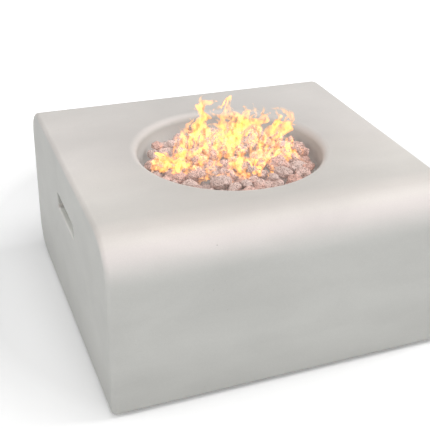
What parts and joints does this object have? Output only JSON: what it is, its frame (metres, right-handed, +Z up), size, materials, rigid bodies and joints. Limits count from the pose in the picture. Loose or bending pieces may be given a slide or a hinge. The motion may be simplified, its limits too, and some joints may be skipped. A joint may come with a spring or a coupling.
{
  "type": "gas fire pit",
  "caption": "Low square gas fire pit: thin-walled concrete body rounded over at the front, round bowl of lava rock over a ring burner, controls in a recess at the back.",
  "frame": {"origin": "on the floor under the middle of the body, at the underside of the feet", "axes": "+X to the right, +Y to the back where the controls are, +Z up; the rounded front faces -Y"},
  "size_m": [0.595, 0.59, 0.305],
  "materials": {
    "concrete": "matt",
    "black_rubber": "matt",
    "zinc_steel": "satin",
    "spring_steel": "satin",
    "stainless": "brushed",
    "brass": "satin",
    "cast_alloy": "as cast",
    "aluminium_tube": "satin",
    "white_ceramic": "glazed",
    "lead_jacket": "matt",
    "copper_lead": "satin",
    "knob_plastic": "matt",
    "black_plastic": "matt",
    "red_plastic": "gloss",
    "battery_case": "gloss",
    "lava_rock": "porous"
  },
  "bodies": {
    "fire_pit": {"stone_body": "concrete", "rubber_feet": "black_rubber", "foot_screws": "zinc_steel", "foot_inserts": "brass", "burner_pan": "stainless", "pan_screws": "stainless", "ledge_inserts": "brass", "burner_ring": "stainless", "burner_nut": "zinc_steel", "heat_shield": "zinc_steel", "air_mixer": "cast_alloy", "gas_jet": "brass", "inlet_tube": "aluminium_tube", "feed_tube": "aluminium_tube", "inlet_tube_nut": "brass", "valve_inlet_nut": "brass", "valve_outlet_nut": "brass", "jet_nut": "brass", "probe_bracket": "zinc_steel", "electrode_ceramic": "white_ceramic", "electrode_wire": "stainless", "flame_sensor": "stainless", "probe_guard": "stainless", "spark_lead": "lead_jacket", "sensor_lead": "copper_lead", "control_panel": "stainless", "panel_screws": "zinc_steel", "gas_valve": "cast_alloy", "valve_screws": "zinc_steel", "knob_spring": "spring_steel", "button_spring": "spring_steel", "battery_spring": "spring_steel", "igniter_housing": "black_plastic", "igniter_nut": "black_plastic", "battery": "battery_case", "gas_inlet_fitting": "brass", "inlet_nut": "brass", "lava_rocks_lower": "lava_rock", "lava_rocks_middle": "lava_rock", "lava_rocks_upper": "lava_rock"},
    "knob_carrier": {"spring_seat": "zinc_steel"},
    "knob": {"control_knob": "knob_plastic", "valve_spindle": "brass"},
    "cap_carrier": {"cap_seal": "black_rubber"},
    "cap": {"igniter_cap": "black_plastic"},
    "button": {"igniter_button": "red_plastic"}
  },
  "joints": [
    {"name": "knob_push", "type": "slide", "parent": "fire_pit", "child": "knob_carrier", "axis": [0, -1, 0], "range_m": [0, 0.003], "stiffness_N_per_m": 1500, "springref_m": -0.001, "deforming": ["knob_spring"]},
    {"name": "knob_turn", "type": "hinge", "parent": "knob_carrier", "child": "knob", "pos_m": [0.008, 0.265, 0.14], "axis": [0, 1, 0], "range_deg": [0, 180]},
    {"name": "cap_rise", "type": "slide", "parent": "fire_pit", "child": "cap_carrier", "axis": [0, 1, 0], "range_m": [0, 0.006]},
    {"name": "cap_turn", "type": "hinge", "parent": "cap_carrier", "child": "cap", "pos_m": [-0.06, 0.265, 0.14], "axis": [0, 1, 0], "range_deg": [0, 720]},
    {"name": "igniter_press", "type": "slide", "parent": "cap", "child": "button", "axis": [0, -1, 0], "range_m": [0, 0.0025], "stiffness_N_per_m": 1200, "springref_m": -0.001, "deforming": ["button_spring"]}
  ],
  "couplings": [
    {"joint": "cap_rise", "follows": "cap_turn", "m_per_rad": 0.000477}
  ]
}
